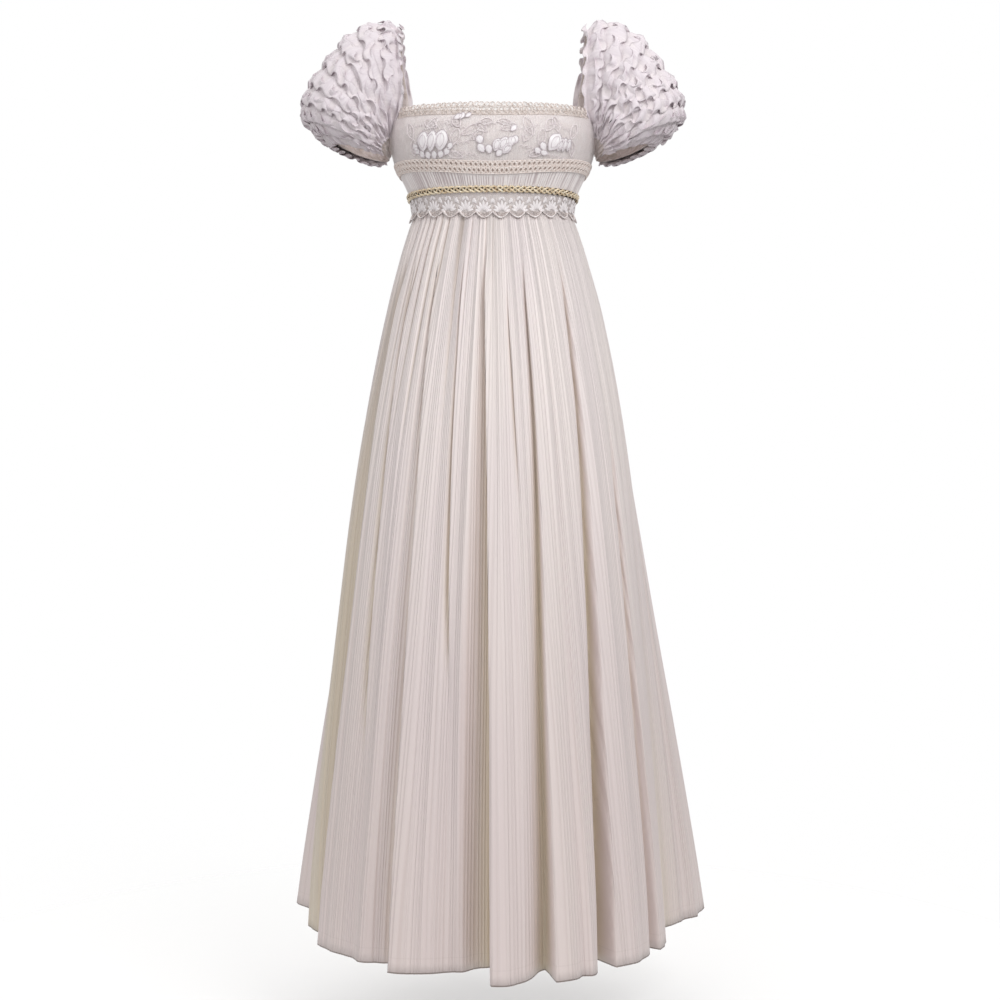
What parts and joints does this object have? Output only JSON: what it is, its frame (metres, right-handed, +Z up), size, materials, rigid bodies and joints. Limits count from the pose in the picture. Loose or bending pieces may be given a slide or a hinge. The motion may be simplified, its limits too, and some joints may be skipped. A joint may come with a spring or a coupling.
{
  "type": "regency gown",
  "caption": "High-waisted gown in its worn shape, hollow, with puff sleeves covered in ruffles, lace and braid trims under the bust and a long gathered skirt in deep folds.",
  "frame": {"origin": "midway between the shoulders, at the top of the armholes, where the wearer holds the gown up", "axes": "+Z up, the front of the gown faces -Y, and the wearer's left is +X"},
  "size_m": [0.6586, 0.6199, 1.405],
  "materials": {
    "bodice_satin": "fine shirred satin, soft sheen",
    "bodice_lace": "net lace with shiny satin petals and cord",
    "neck_lace": "matt looped cotton lace",
    "crochet_cotton": "matt crochet cotton with two rows of holes",
    "gold_thread": "plaited metallic gold thread",
    "waist_lace": "satin-stitch lace with a scalloped corded edge",
    "skirt_chiffon": "matt crinkle-pleated chiffon",
    "sleeve_chiffon": "matt crinkled chiffon",
    "ruffle_chiffon": "matt crinkled chiffon, crisp edges"
  },
  "bodies": {
    "root": {"bodice_front": "bodice_satin", "bodice_back": "bodice_satin", "lace_overlay": "bodice_lace", "neck_lace": "neck_lace", "crochet_band": "crochet_cotton", "gold_braid": "gold_thread", "waist_lace": "waist_lace", "skirt_front": "skirt_chiffon", "skirt_back": "skirt_chiffon", "sleeve_left": "sleeve_chiffon", "sleeve_right": "sleeve_chiffon", "ruffle_left_1": "ruffle_chiffon", "ruffle_left_2": "ruffle_chiffon", "ruffle_left_3": "ruffle_chiffon", "ruffle_left_4": "ruffle_chiffon", "ruffle_left_5": "ruffle_chiffon", "ruffle_left_6": "ruffle_chiffon", "ruffle_left_7": "ruffle_chiffon", "ruffle_left_8": "ruffle_chiffon", "ruffle_left_9": "ruffle_chiffon", "ruffle_right_1": "ruffle_chiffon", "ruffle_right_2": "ruffle_chiffon", "ruffle_right_3": "ruffle_chiffon", "ruffle_right_4": "ruffle_chiffon", "ruffle_right_5": "ruffle_chiffon", "ruffle_right_6": "ruffle_chiffon", "ruffle_right_7": "ruffle_chiffon", "ruffle_right_8": "ruffle_chiffon", "ruffle_right_9": "ruffle_chiffon"}
  },
  "joints": []
}
